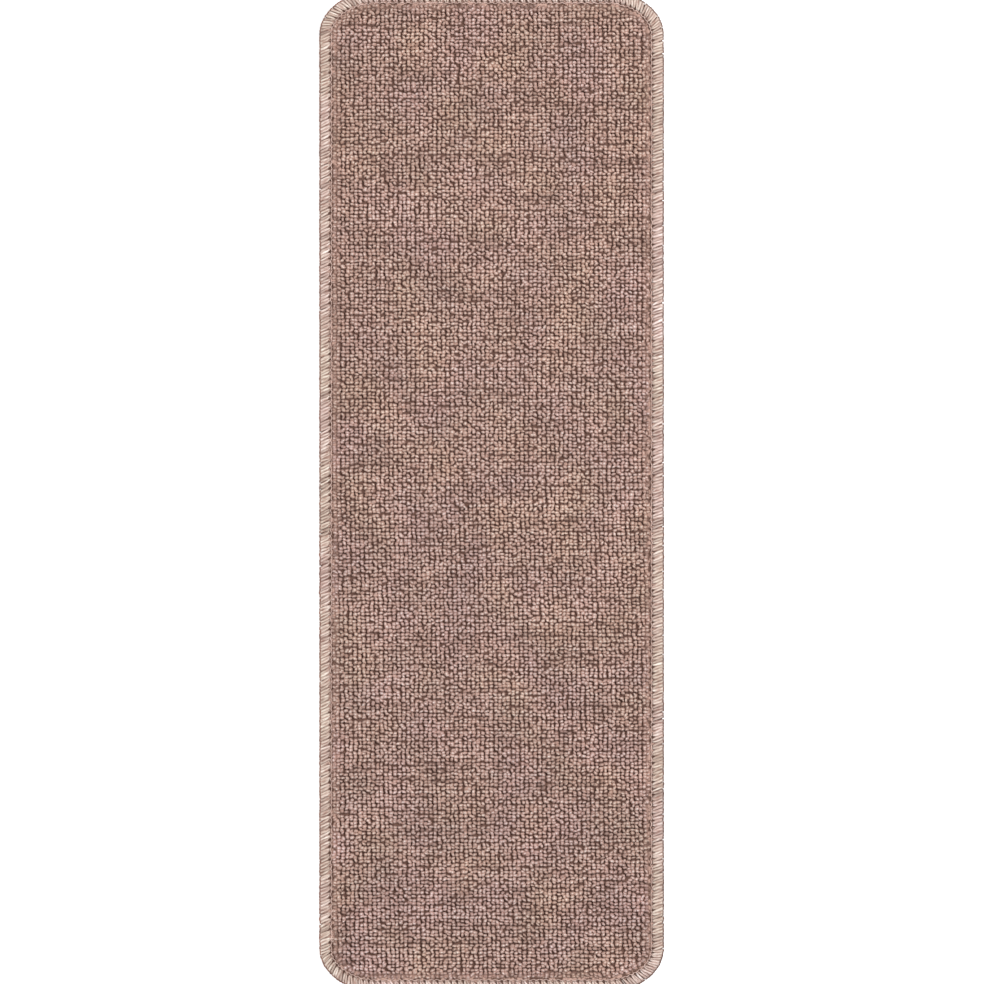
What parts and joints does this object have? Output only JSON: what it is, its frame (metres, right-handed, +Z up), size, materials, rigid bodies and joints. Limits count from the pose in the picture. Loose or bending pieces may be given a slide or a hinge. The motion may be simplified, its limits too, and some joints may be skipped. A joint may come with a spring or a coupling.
{
  "type": "stair tread mat",
  "caption": "Flat oblong stair tread mat with rounded corners, a loop pile top, an overlocked yarn edge and a rubber backing that grips the tread.",
  "frame": {"origin": "on the underside, in the middle of the mat", "axes": "+Y along the length, towards the end at the top of the picture; +X across the width, to the right; +Z up, out of the pile"},
  "size_m": [0.224, 0.65, 0.0056],
  "materials": {
    "backing": "matt synthetic rubber with fine grips",
    "pile": "pinkish beige looped yarn, mottled",
    "edge_yarn": "light pinkish beige yarn with a soft sheen"
  },
  "bodies": {
    "root": {"anti_slip_backing": "backing", "loop_pile_carpet": "pile", "overlock_yarn": "edge_yarn", "needle_thread": "edge_yarn"}
  },
  "joints": []
}
